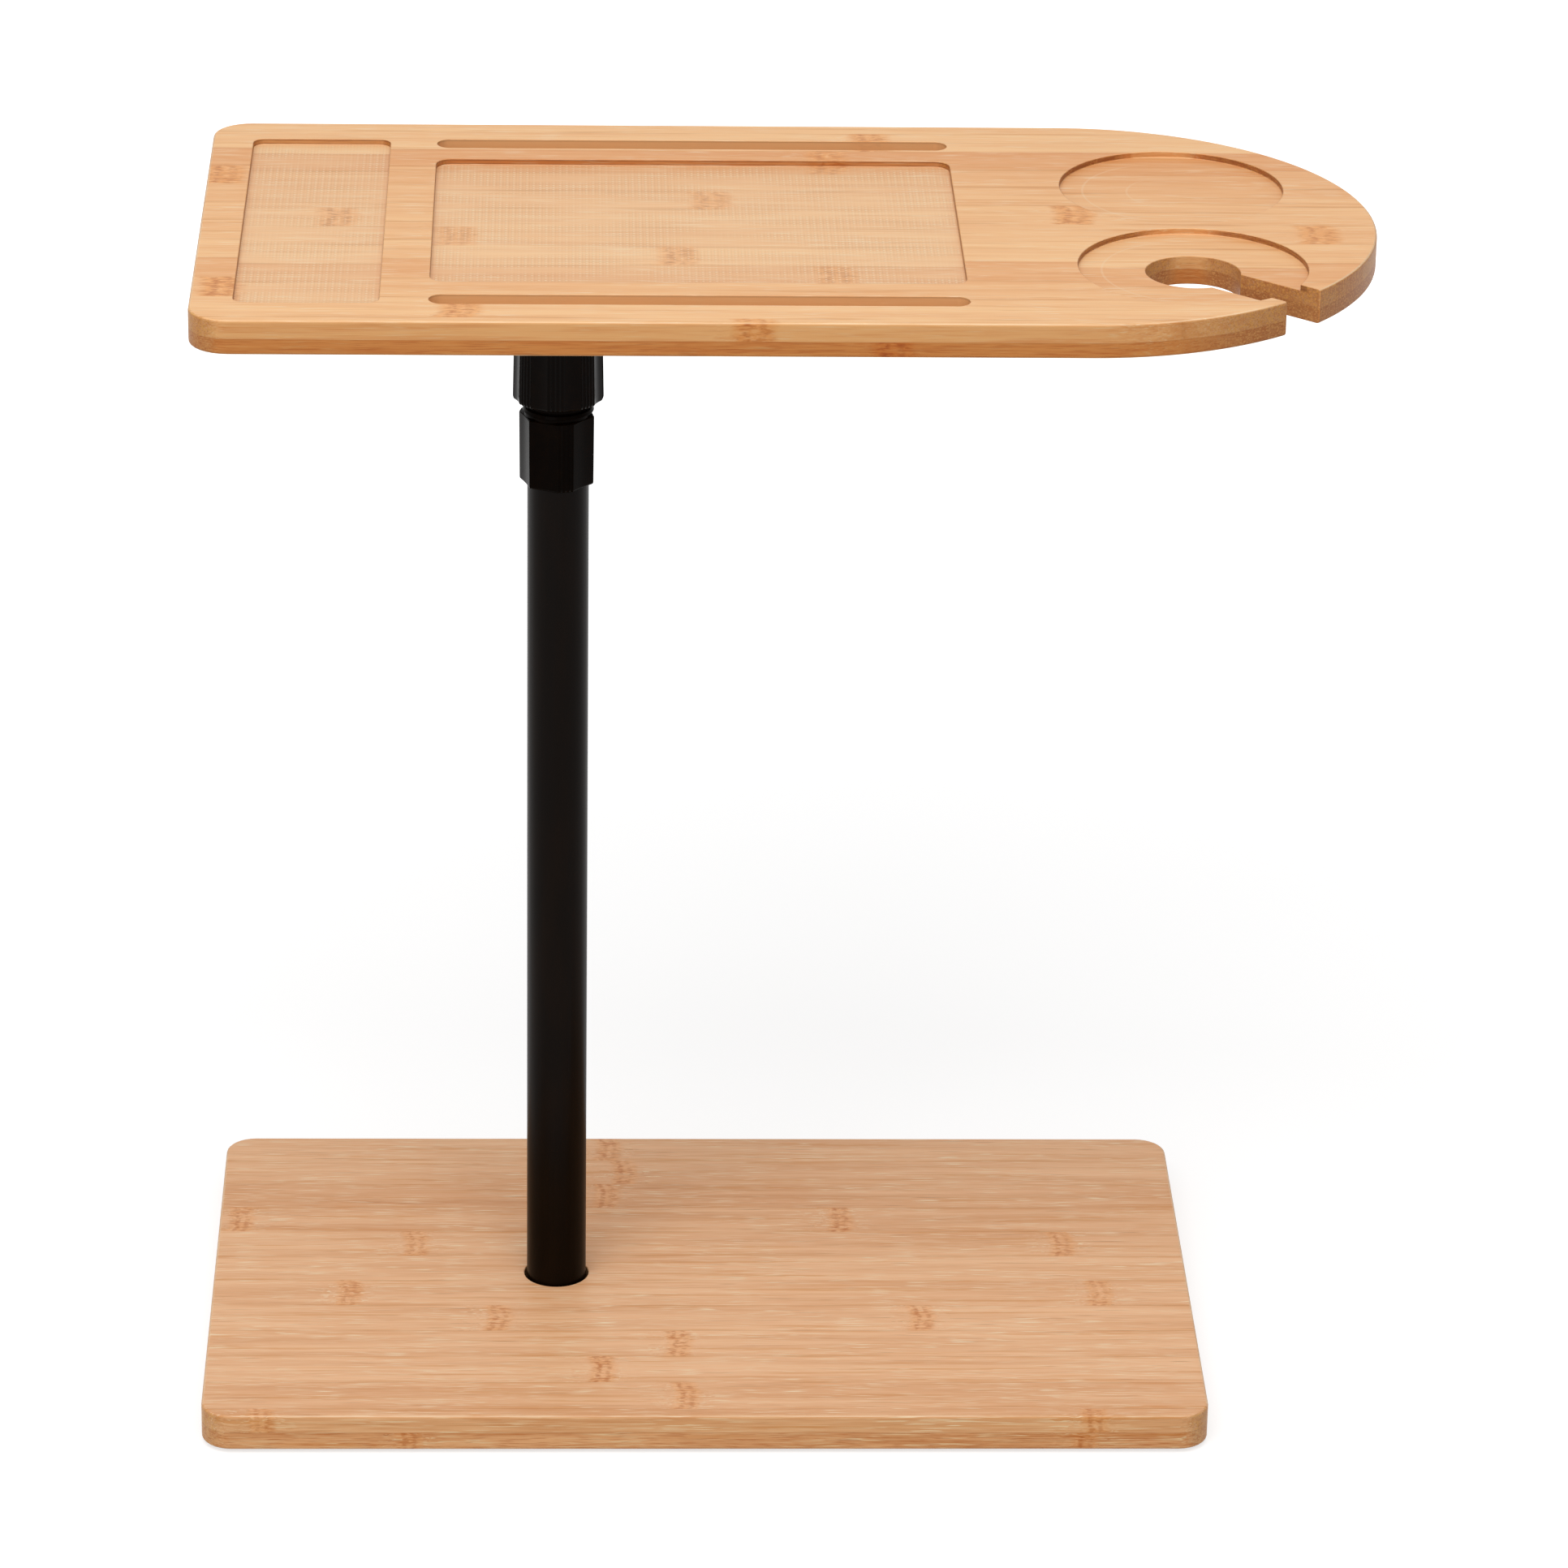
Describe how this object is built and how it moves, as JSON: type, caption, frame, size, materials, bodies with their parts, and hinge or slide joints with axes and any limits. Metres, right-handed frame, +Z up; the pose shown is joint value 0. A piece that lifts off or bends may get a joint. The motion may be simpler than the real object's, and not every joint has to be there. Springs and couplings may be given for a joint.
{
  "type": "side table",
  "caption": "C-shaped side table: bamboo foot board, off-centre telescoping pole with twist locks, and a half-round-ended bamboo top with device recesses, stand grooves and a glass keyhole.",
  "frame": {"origin": "centre of the footprint of the whole table at rest, on the floor under the rubber pads", "axes": "+Z up, +X from the pole's side towards the half-round end of the top, +Y away from the keyhole's side"},
  "size_m": [0.604, 0.325, 0.627],
  "materials": {
    "bamboo_top": "clear satin lacquer over light honey bamboo strips",
    "bamboo_foot": "clear satin lacquer over light bamboo strips",
    "black_steel": "satin black powder coat",
    "black_plastic": "glossy moulded black",
    "white_nylon": "natural moulded nylon",
    "zinc_steel": "zinc plated",
    "rubber_pad": "matt rubber"
  },
  "bodies": {
    "stand": {"foot_board": "bamboo_foot", "foot_plate": "zinc_steel", "foot_bolt": "zinc_steel", "tube_plug": "zinc_steel", "outer_tube": "black_steel", "lock_sleeve": "white_nylon", "lock_collet": "white_nylon", "foot_screw_1": "zinc_steel", "foot_screw_2": "zinc_steel", "foot_screw_3": "zinc_steel", "foot_screw_4": "zinc_steel", "foot_pad_1": "rubber_pad", "foot_pad_2": "rubber_pad", "foot_pad_3": "rubber_pad", "foot_pad_4": "rubber_pad"},
    "height_lock": {"height_lock_nut": "black_plastic"},
    "mast": {"inner_tube": "black_steel", "guide_bush": "white_nylon", "head_sleeve": "black_plastic", "swivel_collet": "white_nylon"},
    "swivel_lock": {"swivel_lock_nut": "black_plastic"},
    "top": {"tabletop": "bamboo_top", "head_flange": "black_steel", "head_screw_1": "zinc_steel", "head_screw_2": "zinc_steel", "head_screw_3": "zinc_steel", "head_screw_4": "zinc_steel"}
  },
  "joints": [
    {"name": "height_slide", "type": "slide", "parent": "stand", "child": "mast", "axis": [0, 0, 1], "range_m": [0, 0.2]},
    {"name": "height_lock_turn", "type": "hinge", "parent": "stand", "child": "height_lock", "pos_m": [-0.116, 0, 0.505], "axis": [0, 0, 1], "range_deg": [0, 180]},
    {"name": "swivel_lock_turn", "type": "hinge", "parent": "mast", "child": "swivel_lock", "pos_m": [-0.116, 0, 0.557], "axis": [0, 0, 1], "range_deg": [0, 180]},
    {"name": "top_swivel", "type": "hinge", "parent": "mast", "child": "top", "pos_m": [-0.116, 0, 0.609], "axis": [0, 0, 1], "continuous": true}
  ]
}
